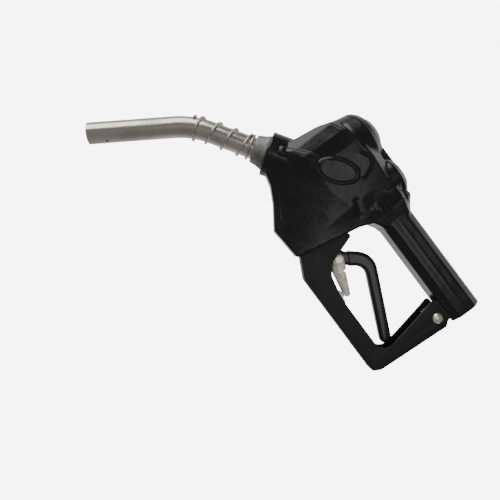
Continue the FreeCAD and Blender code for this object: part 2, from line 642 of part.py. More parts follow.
# ---------------------------------------------------------------- hold-open clip
cheeks = plate("cheeks", [
    ("-clip_x - 4", "-clip_z - 4"), ("-120.7", "-88.3"), ("-92.7", "-93.5"), ("-88.3", "-93.5"),
    ("-88.3", "-88.6"), ("-110.7", "-78.3"), ("-113.7", "-79.3"), ("-113.7", "-75.5"),
    ("-clip_x + 4", "-clip_z + 4.2")], "clip_outer", [("1.6", [("-88.3", "-93.5"), ("-88.3", "-88.6")])])
cheek_eye = across("cheek_eye", "clip_eye", "-clip_x", "-clip_z", "-clip_outer", "clip_outer")
node(cut("clip", fuse("clip_block", [cheeks, cheek_eye]), [
    plate("clip_room", [
        ("-140", "-60"), ("-140", "-95"), ("-119", "-95"), ("-119", "-87.2"), ("-92.5", "-92.1"),
        ("-80", "-92.1"), ("-80", "-60")], "clip_inner"),
    across("clip_hole", "clip_rivet + pin_gap", "-clip_x", "-clip_z", "-20", "20")]), "hold_open_clip")
node(fuse("rivet", [
    across("rivet_shank", "clip_rivet", "-clip_x", "-clip_z", "-clip_outer - 0.9", "clip_outer + 0.9"),
    across("rivet_near", "clip_rivet + 1", "-clip_x", "-clip_z", "-clip_outer - 1.1", "-clip_outer - 0.2"),
    across("rivet_far", "clip_rivet + 1", "-clip_x", "-clip_z", "clip_outer + 0.2", "clip_outer + 1.1")]),
    "clip_rivet")
node(plate("leaf", [
    ("-131", "-pivot_z - eye_radius"), ("-123.9", "-pivot_z - eye_radius"), ("-104", "-88"),
    ("-104", "-88.7"), ("-124.1", "-81.2"), ("-131", "-81.2")], "3.5"), "clip_spring")

# ---------------------------------------------------------------- guard
guard_outer = plate("guard_side", [
    ("0", "-26.9"), ("-4.6", "-111"), ("-9.6", "-guard_floor"), ("-131", "-guard_floor"),
    ("-152", "-109"), ("-160", "-106.5"), ("-guard_front", "-106.5"), ("-guard_front", "-64"),
    ("-139.9", "-50.4"), ("-132.5", "-72"), ("-128.1", "-85.6"), ("-117.4", "-93.4"),
    ("-97.8", "-97.9"), ("-82.2", "-99.3"), ("-17.5", "-99.3"), ("-19.5", "-82"),
    ("-21.5", "-70"), ("-26.3", "-46"), ("-28.3", "-35.7"), ("-31", "-24"), ("-31", "-19.1"),
    ("-6", "-19.1")], "guard_half",
    [("3.5", [("-4.6", "-111"), ("-9.6", "-guard_floor")]), ("12", [("-17.5", "-99.3")]),
     ("8", [("-128.1", "-85.6"), ("-117.4", "-93.4"), ("-131", "-guard_floor")]),
     ("3", [("-6", "-19.1"), ("-139.9", "-50.4"), ("-31", "-19.1")])])
node(cut("guard", guard_outer, [
    plate("guard_room", [
        ("-guard_wall", "0"), ("-guard_wall", "-26.9"), ("-4.6 - guard_wall", "-110.2"),
        ("-11", "-guard_floor + guard_wall"), ("-131.4", "-guard_floor + guard_wall"),
        ("-152.6", "-109 + guard_wall"), ("-160.3", "-106.5 + guard_wall"),
        ("-guard_front - 10", "-106.5 + guard_wall"), ("-guard_front - 10", "0")],
        "guard_half - guard_wall"),
    across("guard_screw_hole", "screw_radius + 0.2", "-screw_x", "-screw_z", "-20", "20"),
    across("guard_tap", "2", "-front_screw_x", "-front_screw_z", "-20", "20"),
    upright("guard_rivet_a", "rivet_radius", "-97", "-guard_floor - 2", "-guard_floor + 8"),
    upright("guard_rivet_b", "rivet_radius", "-76", "-guard_floor - 2", "-guard_floor + 8")]), "lever_guard")
node(cut("rack", plate("rack_side", [
    ("-rack_front", "-guard_floor + guard_wall"), ("-rack_front", "-99.5"), ("-96", "-93.6"),
    ("-92", "-93.6"), ("-91", "-97.3"), ("-86", "-97.3"), ("-85", "-101"), ("-79", "-101"),
    ("-78", "-105"), ("-rack_rear", "-105"), ("-rack_rear", "-guard_floor + guard_wall")],
    "rack_outer"), [
        box("rack_room", "-110", "-60", "-rack_inner", "rack_inner",
            "-guard_floor + guard_wall + rack_base", "-80"),
        upright("rack_rivet_a", "rivet_radius", "-97", "-guard_floor - 2", "-guard_floor + 8"),
        upright("rack_rivet_b", "rivet_radius", "-76", "-guard_floor - 2", "-guard_floor + 8")]), "latch_rack")
rivets = []
for name, x in (("rivet_a", "-97"), ("rivet_b", "-76")):
    rivets.append(fuse(name, [
        upright(name + "_shank", "rivet_radius", x, "-guard_floor", "-guard_floor + 5.2"),
        upright(name + "_head", "3", x, "-guard_floor + guard_wall + rack_base",
                "-guard_floor + guard_wall + rack_base + 0.8")]))
rivet_set = doc.addObject("Part::Compound", "rivet_set")
rivet_set.Links = rivets
node(rivet_set, "rack_rivets")
screw = turned("screw", [
    ("0", "-14.5"), ("screw_radius", "-14.5"), ("screw_radius", "guard_half"),
    ("dome_radius", "guard_half"), ("dome_radius - 0.3", "guard_half + 1.2"),
    ("4.2", "guard_half + 2.6"), ("2", "guard_half + 3.2"), ("0", "guard_half + 3.3")])
node(place(screw, "-screw_x", "0", "-screw_z", V(1, 0, 0), "90"), "guard_rear_screw")
dome_nut = turned("dome_nut", [
    ("screw_radius", "-guard_half"), ("dome_radius - 0.6", "-guard_half"),
    ("dome_radius - 0.6", "-guard_half - 2.4"), ("3.8", "-guard_half - 3.6"),
    ("0", "-guard_half - 4"), ("0", "-14.5"), ("screw_radius", "-14.5")])
node(place(dome_nut, "-screw_x", "0", "-screw_z", V(1, 0, 0), "90"), "guard_rear_nut")
front_screws = []
for name, side in (("near", "-1"), ("far", "1")):
    front_screws.append(across("front_screw_" + name, "2", "-front_screw_x", "-front_screw_z",
                               "(%s)*9.6 - 2.6" % side, "(%s)*9.6 + 2.6" % side))
front_set = doc.addObject("Part::Compound", "front_set")
front_set.Links = front_screws
node(front_set, "guard_front_screws")

# ---------------------------------------------------------------- checks and export
doc.recompute()
for item in doc.Objects:
    if "Invalid" in item.State or "Error" in item.State:
        raise RuntimeError("%s: %s" % (item.Label, item.State))
for item in nodes:
    shape = item.Shape
    if shape.isNull() or not shape.isValid() or not shape.Solids:
        raise RuntimeError("bad shape: " + item.Label)
    shape.exportStep("parts/%s.step" % item.Label)
    print("%-22s %9.1f mm3 %d" % (item.Label, shape.Volume, len(shape.Solids)))
print(len(nodes), "nodes")
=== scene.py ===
"""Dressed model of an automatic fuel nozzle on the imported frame.

The solids come from the frame. This file gives them their finishes, builds the
soft vinyl cover and the rounded pieces, and sets the floor, light and camera.
"""
import logging
import math
from dataclasses import dataclass, field
from enum import Enum
from typing import Sequence, Union

import bmesh
import bpy
import numpy as np
from mathutils import Matrix, Vector


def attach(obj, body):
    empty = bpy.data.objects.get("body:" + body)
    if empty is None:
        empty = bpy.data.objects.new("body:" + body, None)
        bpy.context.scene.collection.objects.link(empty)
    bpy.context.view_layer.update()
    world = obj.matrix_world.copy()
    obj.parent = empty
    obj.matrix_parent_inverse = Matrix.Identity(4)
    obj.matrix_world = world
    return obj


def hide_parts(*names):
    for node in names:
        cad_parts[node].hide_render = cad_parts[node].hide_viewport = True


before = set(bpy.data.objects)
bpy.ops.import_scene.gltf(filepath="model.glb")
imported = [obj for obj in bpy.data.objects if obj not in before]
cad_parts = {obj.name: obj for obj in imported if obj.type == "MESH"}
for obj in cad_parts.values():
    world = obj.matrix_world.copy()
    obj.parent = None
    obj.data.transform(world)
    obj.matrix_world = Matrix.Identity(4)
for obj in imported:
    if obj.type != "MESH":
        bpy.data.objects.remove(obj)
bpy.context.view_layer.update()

NODES: dict[str, bpy.types.Object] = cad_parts
log = logging.getLogger("nozzle")

Point = tuple[float, float, float]


class Operation(Enum):
    """Math node operations that shader expressions use."""

    ADD = "ADD"
    MULTIPLY = "MULTIPLY"
    MAXIMUM = "MAXIMUM"
    MINIMUM = "MINIMUM"


class Wire:
    """An output socket that can be used in arithmetic."""

    def __init__(self, board: "Board", socket: bpy.types.NodeSocket) -> None:
        """Hold a socket of a board.

        Args:
            board: The board that owns the socket.
            socket: The output socket.
        """
        self.board = board
        self.socket = socket

    def _math(self, operation: Operation, left: object, right: object) -> "Wire":
        """Add a Math node.

        Args:
            operation: What the node does.
            left: First value, a wire or a number.
            right: Second value, a wire or a number.

        Returns:
            The node's result.
        """
        return self.board.add("ShaderNodeMath", {"operation": operation.value}, {0: left, 1: right})

    def __add__(self, other: object) -> "Wire":
        """Sum of this and other."""
        return self._math(Operation.ADD, self, other)

    def __radd__(self, other: object) -> "Wire":
        """Sum of other and this."""
        return self._math(Operation.ADD, other, self)

    def __mul__(self, other: object) -> "Wire":
        """Product of this and other."""
        return self._math(Operation.MULTIPLY, self, other)

    def __rmul__(self, other: object) -> "Wire":
        """Product of other and this."""
        return self._math(Operation.MULTIPLY, other, self)

    def at_least(self, other: object) -> "Wire":
        """The larger of this and other."""
        return self._math(Operation.MAXIMUM, self, other)

    def at_most(self, other: object) -> "Wire":
        """The smaller of this and other."""
        return self._math(Operation.MINIMUM, self, other)


class Board:
    """A material's node tree, with one way of adding nodes."""

    def __init__(self, name: str) -> None:
        """Make an empty material with a Principled shader.

        Args:
            name: The material's name.
        """
        self.material = bpy.data.materials.new(name)
        self.material.use_nodes = True
        self.tree = self.material.node_tree
        self.shader = next(n for n in self.tree.nodes if n.type == "BSDF_PRINCIPLED")

    def add(self, kind: str, settings: dict, values: dict, output: Union[int, str] = 0) -> Wire:
        """Add a node, set it up and feed its sockets.

        Args:
            kind: The node's type name.
            settings: Attributes, set before anything is linked.
            values: Socket name or number to a wire or a constant.
            output: The output wanted.

        Returns:
            The chosen output.
        """
        node = self.tree.nodes.new(kind)
        for key, value in settings.items():
            setattr(node, key, value)
        for key, value in values.items():
            self.feed(node.inputs[key], value)
        return Wire(self, node.outputs[output])

    @classmethod
    def of_world(cls, world: bpy.types.World) -> "Board":
        """A board on a world's node tree.

        Args:
            world: The world.

        Returns:
            The board.
        """
        board = cls.__new__(cls)
        world.use_nodes = True
        board.tree = world.node_tree
        return board

    def feed(self, socket: bpy.types.NodeSocket, value: object) -> None:
        """Link a wire to a socket, or set a constant on it.

        Args:
            socket: The input.
            value: A wire or a constant.
        """
        if isinstance(value, Wire):
            self.tree.links.new(value.socket, socket)
        else:
            socket.default_value = value

    def place(self) -> Wire:
        """Position on the object, in metres."""
        return self.add("ShaderNodeTexCoord", {}, {}, "Object")

    def noise(self, scale: float, detail: float, rough: float,
              stretch: Point = (1.0, 1.0, 1.0), turn: Point = (0.0, 0.0, 0.0)) -> Wire:
        """Noise over the object.

        Args:
            scale: Grains per metre.
            detail: Octaves.
            rough: Weight of the fine octaves.
            stretch: Scale on each axis.
            turn: Turn of the axes, in radians.

        Returns:
            A value about 0.5.
        """
        spot = self.add("ShaderNodeMapping", {}, {"Vector": self.place(), "Scale": stretch,
                                                  "Rotation": turn})
        return self.add("ShaderNodeTexNoise", {}, {"Vector": spot, "Scale": scale, "Detail": detail,
                                                   "Roughness": rough})

    def ramp(self, value: Wire, low: float, high: float) -> Wire:
        """0 below low, 1 above high, smooth between.

        Args:
            value: What is measured.
            low: Where the rise starts.
            high: Where the rise ends.

        Returns:
            The share, 0 to 1.
        """
        return self.add("ShaderNodeMapRange", {"interpolation_type": "SMOOTHSTEP"},
                        {"Value": value, "From Min": low, "From Max": high})

    def blend(self, share: Wire, first: Sequence[float], second: Sequence[float]) -> Wire:
        """Mix two colours.

        Args:
            share: 0 for the first, 1 for the second.
            first: A colour.
            second: A colour.

        Returns:
            The mixed colour.
        """
        return self.add("ShaderNodeMix", {"data_type": "RGBA"},
                        {"Factor": share, 6: (*first, 1.0), 7: (*second, 1.0)}, 2)

    def bump(self, height: Wire, depth: float, strength: float) -> Wire:
        """A normal bent by a height.

        Args:
            height: The height, 0 to 1.
            depth: Metres for a height of 1.
            strength: How much of it shows.

        Returns:
            The normal.
        """
        return self.add("ShaderNodeBump", {}, {"Height": height, "Distance": depth,
                                               "Strength": strength})

    def finish(self, **sockets: object) -> bpy.types.Material:
        """Feed the shader's sockets and return the material.

        Args:
            **sockets: Socket names with underscores, and their values.

        Returns:
            The material.
        """
        for name, value in sockets.items():
            self.feed(self.shader.inputs[name.replace("_", " ")], value)
        return self.material


@dataclass(frozen=True)
class DippedVinyl:
    """Soft black vinyl, glossy where it is rubbed and duller in patches."""

    name: str = "dipped_vinyl"
    dark: tuple = (0.0035, 0.0035, 0.0042)
    worn: tuple = (0.010, 0.010, 0.011)
    gloss: float = 0.2

    def build(self) -> bpy.types.Material:
        """Make the material.

        Returns:
            The material.
        """
        board = Board(self.name)
        patches = board.ramp(board.noise(26.0, detail=4.0, rough=0.55), low=0.42, high=0.68)
        streaks = board.noise(90.0, detail=5.0, rough=0.6, stretch=(1.0, 1.0, 0.35), turn=(0.0, 0.6, 0.0))
        smear = board.ramp(streaks, low=0.5, high=0.72)
        pits = board.noise(1500.0, detail=2.0, rough=0.5)
        swell = board.noise(55.0, detail=2.0, rough=0.4)
        rough = self.gloss + 0.1 * patches + 0.1 * smear
        height = swell * 0.8 + pits * 0.03
        return board.finish(Base_Color=board.blend(patches * 0.6 + smear * 0.4, self.dark, self.worn),
                            Roughness=rough, Specular_IOR_Level=0.5, Coat_Weight=0.12,
                            Coat_Roughness=0.08, Normal=board.bump(height, depth=0.0011, strength=0.55))


@dataclass(frozen=True)
class PowderCoat:
    """Satin black powder coat with a fine orange peel and greyed scuffs."""

    name: str = "powder_coat"
    dark: tuple = (0.0065, 0.0065, 0.0075)
    scuffed: tuple = (0.022, 0.022, 0.024)
    rough: float = 0.4

    def build(self) -> bpy.types.Material:
        """Make the material.

        Returns:
            The material.
        """
        board = Board(self.name)
        rubs = board.noise(60.0, detail=6.0, rough=0.65, stretch=(0.5, 1.0, 1.4))
        scuff = board.ramp(rubs, low=0.52, high=0.74)
        cloud = board.noise(18.0, detail=2.0, rough=0.5)
        peel = board.noise(1900.0, detail=2.0, rough=0.45)
        return board.finish(Base_Color=board.blend(scuff * 0.7, self.dark, self.scuffed),
                            Roughness=self.rough + 0.14 * cloud + 0.1 * scuff,
                            Normal=board.bump(peel, depth=0.00006, strength=0.7))


@dataclass(frozen=True)
class SmoothCoat:
    """Smooth black coating of the lever, with light rub marks."""

    name: str
    rough: float
    dark: tuple = (0.0045, 0.0045, 0.005)
    rubbed: tuple = (0.014, 0.014, 0.015)

    def build(self) -> bpy.types.Material:
        """Make the material.

        Returns:
            The material.
        """
        board = Board(self.name)
        streaks = board.noise(70.0, detail=5.0, rough=0.6, stretch=(1.0, 1.0, 0.4))
        rub = board.ramp(streaks, low=0.5, high=0.75)
        fine = board.noise(900.0, detail=2.0, rough=0.5)
        return board.finish(Base_Color=board.blend(rub, self.dark, self.rubbed),
                            Roughness=self.rough + 0.14 * rub, Coat_Weight=0.3, Coat_Roughness=0.08,
                            Normal=board.bump(fine, depth=0.00004, strength=0.6))


@dataclass(frozen=True)
class DrawnMetal:
    """Drawn tube or wire: lengthwise lines, cloudy tone and fine handling marks."""

    name: str
    light: tuple = (0.66, 0.62, 0.54)
    dull: tuple = (0.40, 0.38, 0.33)
    rough: float = 0.17
    turn: Point = (0.0, 0.0, 0.0)
    stretch: Point = (0.06, 1.0, 1.0)
    clouds: float = 45.0

    def build(self) -> bpy.types.Material:
        """Make the material.

        Returns:
            The material.
        """
        board = Board(self.name)
        lines = board.noise(900.0, detail=4.0, rough=0.6, stretch=self.stretch, turn=self.turn)
        cloud = board.ramp(board.noise(self.clouds, detail=4.0, rough=0.6), low=0.4, high=0.7)
        marks = board.ramp(board.noise(420.0, detail=4.0, rough=0.7), low=0.62, high=0.75)
        tone = cloud * 0.55 + marks * 0.35 + lines * 0.15
        return board.finish(Base_Color=board.blend(tone.at_most(1.0), self.light, self.dull),
                            Metallic=1.0,
                            Roughness=self.rough + 0.1 * cloud + 0.1 * lines + 0.12 * marks,
                            Normal=board.bump(lines * 0.7 + marks * 0.3, depth=0.00004, strength=0.5))


@dataclass(frozen=True)
class RoughCasting:
    """Sand-cast aluminium with a coarse skin."""

    name: str
    light: tuple = (0.36, 0.355, 0.34)
    dull: tuple = (0.15, 0.148, 0.14)
    rough: float = 0.5
    grain: float = 650.0

    def build(self) -> bpy.types.Material:
        """Make the material.

        Returns:
            The material.
        """
        board = Board(self.name)
        skin = board.noise(self.grain, detail=5.0, rough=0.65)
        stain = board.ramp(board.noise(70.0, detail=4.0, rough=0.6), low=0.42, high=0.68)
        return board.finish(Base_Color=board.blend(stain * 0.7 + skin * 0.2, self.light, self.dull),
                            Metallic=0.85, Roughness=self.rough + 0.2 * skin,
                            Normal=board.bump(skin, depth=0.0003, strength=0.7))


@dataclass(frozen=True)
class ZincPlate:
    """Yellow zinc plate, mottled and a little stained."""

    name: str
    pale: tuple = (0.88, 0.83, 0.71)
    stain: tuple = (0.60, 0.51, 0.35)
    rough: float = 0.3
    metal: float = 0.6

    def build(self) -> bpy.types.Material:
        """Make the material.

        Returns:
            The material.
        """
        board = Board(self.name)
        mottle = board.ramp(board.noise(160.0, detail=4.0, rough=0.6), low=0.45, high=0.72)
        fine = board.noise(1400.0, detail=3.0, rough=0.6)
        return board.finish(Base_Color=board.blend(mottle * 0.7, self.pale, self.stain),
                            Metallic=self.metal, Roughness=self.rough + 0.14 * mottle + 0.08 * fine,
                            Normal=board.bump(fine, depth=0.00004, strength=0.6))


@dataclass(frozen=True)
class PlainMoulding:
    """Rubber or plastic of an inner piece, with a faint grain."""

    name: str
    tone: tuple = (0.02, 0.02, 0.02)
    rough: float = 0.55

    def build(self) -> bpy.types.Material:
        """Make the material.

        Returns:
            The material.
        """
        board = Board(self.name)
        grain = board.noise(700.0, detail=3.0, rough=0.6)
        brighter = tuple(min(1.0, channel * 1.5 + 0.004) for channel in self.tone)
        return board.finish(Base_Color=board.blend(grain, self.tone, brighter),
                            Roughness=self.rough + 0.2 * grain,
                            Normal=board.bump(grain, depth=0.00008, strength=0.5))


class Shop:
    """The finishes of the nozzle, built once."""

    SPOUT_SLOPE = 32.7  # Slope of the spout's first straight, which its drawn lines follow, in degrees.

    def __init__(self) -> None:
        """Build every finish."""
        lead = math.radians(self.SPOUT_SLOPE)
        self.vinyl = DippedVinyl().build()
        self.powder = PowderCoat().build()
        self.coat = SmoothCoat("lever_coat", rough=0.18).build()
        self.grip = SmoothCoat("lever_grip", rough=0.13).build()
        self.spout = DrawnMetal("spout_metal", turn=(0.0, lead, 0.0)).build()
        self.wire = DrawnMetal("spring_wire", (0.62, 0.61, 0.58), (0.36, 0.35, 0.33), 0.22,
                               stretch=(1.0, 1.0, 1.0), clouds=120.0).build()
        self.steel = DrawnMetal("plain_steel", (0.55, 0.55, 0.54), (0.35, 0.35, 0.34), 0.25).build()
        self.collar = RoughCasting("collar_casting").build()
        self.body = RoughCasting("body_metal", (0.5, 0.5, 0.49), (0.3, 0.3, 0.29), 0.42, 480.0).build()
        self.clip = ZincPlate("clip_plate").build()
        self.screw = ZincPlate("screw_plate", (0.90, 0.83, 0.70), (0.64, 0.53, 0.38), 0.2, 0.9).build()
        self.brass = ZincPlate("turned_brass", (0.72, 0.55, 0.26), (0.5, 0.36, 0.16), 0.3, 1.0).build()
        self.rubber = PlainMoulding("seal_rubber").build()
        self.acetal = PlainMoulding("white_acetal", (0.7, 0.69, 0.65), 0.4).build()

    @staticmethod
    def wear(thing: bpy.types.Object, material: bpy.types.Material) -> None:
        """Put a finish on a piece, in place of what it wears.

        Args:
            thing: A frame node or a new piece.
            material: The finish.
        """
        if not thing.data.materials:
            thing.data.materials.append(material)
        for index in range(len(thing.data.materials)):
            thing.data.materials[index] = material


class Stock:
    """Mesh work that the pieces share."""

    WELD = 1e-6  # Vertices closer than this are one, in metres.
    FLAT_ANGLE = 1.0  # Faces that meet at less than this are one, in degrees.
    SHARP_ANGLE = 32.0  # Edges sharper than this shade as edges, in degrees.
    GIVE_BACK = 1.02  # Strength of the pass that gives the bulk back, over the smoothing one's.

    @staticmethod
    def copy(node: str, name: str) -> bpy.types.Object:
        """A new piece with a copy of a frame node's mesh.

        Args:
            node: The frame node.
            name: The piece's name.

        Returns:
            The piece, linked to the scene.
        """
        piece = bpy.data.objects.new(name, NODES[node].data.copy())
        bpy.context.scene.collection.objects.link(piece)
        form = bmesh.new()
        form.from_mesh(piece.data)
        bmesh.ops.remove_doubles(form, verts=form.verts, dist=Stock.WELD)
        form.to_mesh(piece.data)
        form.free()
        return piece

    @staticmethod
    def settle(piece: bpy.types.Object) -> None:
        """Apply a piece's modifiers to its mesh.

        Args:
            piece: The piece.
        """
        graph = bpy.context.evaluated_depsgraph_get()
        graph.update()
        made = bpy.data.meshes.new_from_object(piece.evaluated_get(graph))
        piece.modifiers.clear()
        piece.data = made

    @staticmethod
    def voxels(piece: bpy.types.Object, size: float) -> None:
        """Remesh a piece into even cells.

        Args:
            piece: The piece.
            size: The cell, in metres.
        """
        modifier = piece.modifiers.new("even", "REMESH")
        modifier.mode = "VOXEL"
        modifier.voxel_size = size
        modifier.use_smooth_shade = True
        Stock.settle(piece)

    @staticmethod
    def relax(piece: bpy.types.Object, rounds: int, factor: float = 0.5, hold: bool = True) -> None:
        """Smooth a piece.

        Args:
            piece: The piece.
            rounds: Passes of smoothing.
            factor: Strength of each pass.
            hold: Whether each pass is followed by one that gives the bulk back.
        """
        mesh = piece.data
        edges = np.empty(len(mesh.edges) * 2, dtype=np.int64)
        mesh.edges.foreach_get("vertices", edges)
        ends = edges.reshape(-1, 2)
        count = len(mesh.vertices)
        spots = Stock.rows(piece, "co")
        valence = np.bincount(ends.ravel(), minlength=count)[:, None].clip(1)
        back = (-factor * Stock.GIVE_BACK,) if hold else ()
        for push in (factor, *back) * rounds:
            total = np.zeros_like(spots)
            for axis in range(3):
                total[:, axis] += np.bincount(ends[:, 0], spots[ends[:, 1], axis], count)
                total[:, axis] += np.bincount(ends[:, 1], spots[ends[:, 0], axis], count)
            spots = spots + push * (total / valence - spots)
        Stock.put(piece, spots)

    @staticmethod
    def rows(piece: bpy.types.Object, what: str) -> np.ndarray:
        """A vector of each vertex of a piece.

        Args:
            piece: The piece.
            what: "co" for the places, "normal" for the normals.

        Returns:
            One row for each vertex.
        """
        values = np.empty(len(piece.data.vertices) * 3)
        piece.data.vertices.foreach_get(what, values)
        return values.reshape(-1, 3)

    @staticmethod
    def put(piece: bpy.types.Object, spots: np.ndarray) -> None:
        """Move a piece's vertices to new places, one row each."""
        piece.data.vertices.foreach_set("co", spots.ravel())
        piece.data.update()

    @staticmethod
    def chamfer(piece: bpy.types.Object, width: float, steps: int, angle: float = 28.0) -> None:
        """Round a piece's sharp edges.

        Args:
            piece: The piece.
            width: Width of the rounding, in metres.
            steps: Segments of the rounding.
            angle: Edges sharper than this are rounded, in degrees.
        """
        form = bmesh.new()
        form.from_mesh(piece.data)
        bmesh.ops.dissolve_limit(form, angle_limit=math.radians(Stock.FLAT_ANGLE),
                                 verts=form.verts, edges=form.edges)
        form.to_mesh(piece.data)
        form.free()
        modifier = piece.modifiers.new("round", "BEVEL")
        modifier.width = width
        modifier.segments = steps
        modifier.limit_method = "ANGLE"
        modifier.angle_limit = math.radians(angle)
        modifier.use_clamp_overlap = True
        modifier.harden_normals = False
        Stock.settle(piece)
        for face in piece.data.polygons:
            face.use_smooth = True
        piece.data.set_sharp_from_angle(angle=math.radians(Stock.SHARP_ANGLE))


@dataclass(frozen=True)
class Raised:
    """A plain raised rectangle on the flanks, in the middle plane's X and Z, in metres."""

    centre: tuple
    half: tuple
    turn: float
    lift: float
    edge: float


@dataclass
class SoftCover:
    """The vinyl cover: an even, relaxed skin with plain raised bars, bare oval pads and creases."""

    shop: Shop
    cell: float = 0.0011
    rounds: int = 16
    raised: tuple = (Raised((-0.2420, -0.0473), (0.0197, 0.0044), 36.8, 0.0021, 0.0004),
                     Raised((-0.1488, 0.0111), (0.0076, 0.0070), 0.0, 0.0016, 0.0018))
    pad_centre: tuple = (-0.2041, -0.0251)
    pad_half: tuple = (0.0216, 0.0118)
    pad_turn: float = 40.3
    pad_slope: float = 0.12
    pad_sink: float = 0.3
    rim_lift: float = 0.0009
    rim_width: float = 0.08
    fold_rise: float = 6.0
    fold_start: float = 0.15
    fold_spread: tuple = (1.6, 0.25)
    block_spread: tuple = (4.0, 0.6)

    @staticmethod
    def _local(x: np.ndarray, z: np.ndarray, centre: tuple, turn: float) -> tuple[np.ndarray, np.ndarray]:
        """Distances along and across a direction turned up from X, from a centre.

        Args:
            x: Places along X.
            z: Places along Z.
            centre: Where the distances start.
            turn: The direction's turn up from X, in degrees.

        Returns:
            The distances along the direction and across it.
        """
        cos, sin = math.cos(math.radians(turn)), math.sin(math.radians(turn))
        dx, dz = x - centre[0], z - centre[1]
        return dx * cos + dz * sin, dz * cos - dx * sin

    def _blocks(self, x: np.ndarray, z: np.ndarray) -> np.ndarray:
        """Height of the plain bar on the nose and of the block behind the dome.

        Args:
            x: Places along X.
            z: Places along Z.

        Returns:
            The height at each place, in metres.
        """
        height = np.zeros_like(x)
        for form in self.raised:
            u, v = self._local(x, z, form.centre, form.turn)
            over = np.maximum(np.abs(u) - form.half[0], np.abs(v) - form.half[1])
            height += np.clip(0.5 - over / (2 * form.edge), 0.0, 1.0) * form.lift
        return height

    def _pad(self, x: np.ndarray, z: np.ndarray) -> np.ndarray:
        """Height of the oval pad: a narrow rim round a slightly sunken face.

        Args:
            x: Places along X.
            z: Places along Z.

        Returns:
            The height at each place, in metres.
        """
        u, v = self._local(x, z, self.pad_centre, self.pad_turn)
        reach = np.sqrt((u / self.pad_half[0]) ** 2 + (v / self.pad_half[1]) ** 2)
        rim = np.exp(-((reach - 1.0) / self.rim_width) ** 2) * self.rim_lift
        face = np.clip(1.0 - reach, 0.0, self.pad_slope) / self.pad_slope
        return rim - face * self.rim_lift * self.pad_sink

    @staticmethod
    def _creases() -> list[tuple]:
        """The creases' sizes, in metres; a negative depth is a ridge.

        Returns:
            Both ends, the depth and the width of each crease.
        """
        return [((-0.2043, 0.0034), (-0.1922, 0.0089), -0.0007, 0.0028),
                ((-0.1922, 0.0089), (-0.1852, -0.0012), -0.0009, 0.0028),
                ((-0.1852, -0.0012), (-0.1841, -0.0084), -0.0007, 0.0028),
                ((-0.1560, 0.0240), (-0.1330, 0.0190), 0.0010, 0.0014),
                ((-0.1521, -0.0104), (-0.1404, -0.0142), -0.0012, 0.0016),
                ((-0.1400, 0.0150), (-0.1390, -0.0010), 0.0016, 0.0016),
                ((-0.1500, -0.0180), (-0.1410, -0.0100), -0.0009, 0.0022),
                ((-0.1700, -0.0250), (-0.1480, -0.0330), 0.0008, 0.0030),
                ((-0.2360, -0.0800), (-0.1960, -0.1040), -0.0007, 0.0016),
                ((-0.1240, -0.0010), (-0.0040, -0.0010), -0.0003, 0.0010)]

    def _folds(self, x: np.ndarray, z: np.ndarray) -> np.ndarray:
        """Height of the creases and ridges.

        Args:
            x: Places along X.
            z: Places along Z.

        Returns:
            The height at each place, in metres.
        """
        lift = np.zeros_like(x)
        for (x0, z0), (x1, z1), depth, width in self._creases():
            dx, dz = x1 - x0, z1 - z0
            share = np.clip(((x - x0) * dx + (z - z0) * dz) / (dx * dx + dz * dz), 0.0, 1.0)
            away = np.hypot(x - x0 - share * dx, z - z0 - share * dz)
            fade = np.clip(np.minimum(share, 1.0 - share) * self.fold_rise + self.fold_start, 0.0, 1.0)
            lift -= np.exp(-(away / width) ** 2) * depth * fade
        return lift

    def _sculpt(self, piece: bpy.types.Object) -> None:
        """Raise the bars, rims and ridges and press the creases into both flanks.

        Args:
            piece: The cover.
        """
        spots = Stock.rows(piece, "co")
        normals = Stock.rows(piece, "normal")
        x, _, z = spots.T
        soft = (self._pad(x, z) + self._folds(x, z)) * self._spread(spots, normals, *self.fold_spread)
        lift = soft + self._blocks(x, z) * self._spread(spots, normals, *self.block_spread)
        spots += normals * lift[:, None]
        Stock.put(piece, spots)

    @staticmethod
    def _spread(spots: np.ndarray, normals: np.ndarray, gain: float, less: float) -> np.ndarray:
        """How much of a relief shows where the skin turns away from its flank.

        Args:
            spots: Places of the vertices.
            normals: Normals of the vertices.
            gain: How fast the relief comes in as the skin turns to the flank.
            less: How much of that is left off.

        Returns:
            The share of each vertex, 0 to 1.
        """
        across = normals[:, 1]
        return np.clip(np.abs(across) * gain - less, 0.0, 1.0) * (spots[:, 1] * across > 0)

    def build(self) -> bpy.types.Object:
        """Make the cover in place of its solid.

        Returns:
            The cover.
        """
        piece = Stock.copy("hand_cover", "vinyl_cover")
        Stock.voxels(piece, self.cell)
        Stock.relax(piece, self.rounds)
        self._sculpt(piece)
        Stock.relax(piece, 1, 0.35)
        self.shop.wear(piece, self.shop.vinyl)
        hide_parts("hand_cover")
        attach(piece, "nozzle_body")
        log.info("cover: %d vertices", len(piece.data.vertices))
        return piece


@dataclass
class RoundedPiece:
    """A stamped or coated piece whose solid has sharp edges, rebuilt with soft ones."""

    shop: Shop
    node: str
    name: str
    body: str
    slot: str
    material: bpy.types.Material
    width: float
    steps: int

    def build(self) -> bpy.types.Object:
        """Make the piece in place of its solid.

        Returns:
            The piece.
        """
        piece = Stock.copy(self.node, self.name)
        Stock.chamfer(piece, self.width, self.steps)
        self.shop.wear(piece, self.material)
        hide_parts(self.node)
        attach(piece, self.body)
        log.info("%s: %d vertices", self.name, len(piece.data.vertices))
        return piece


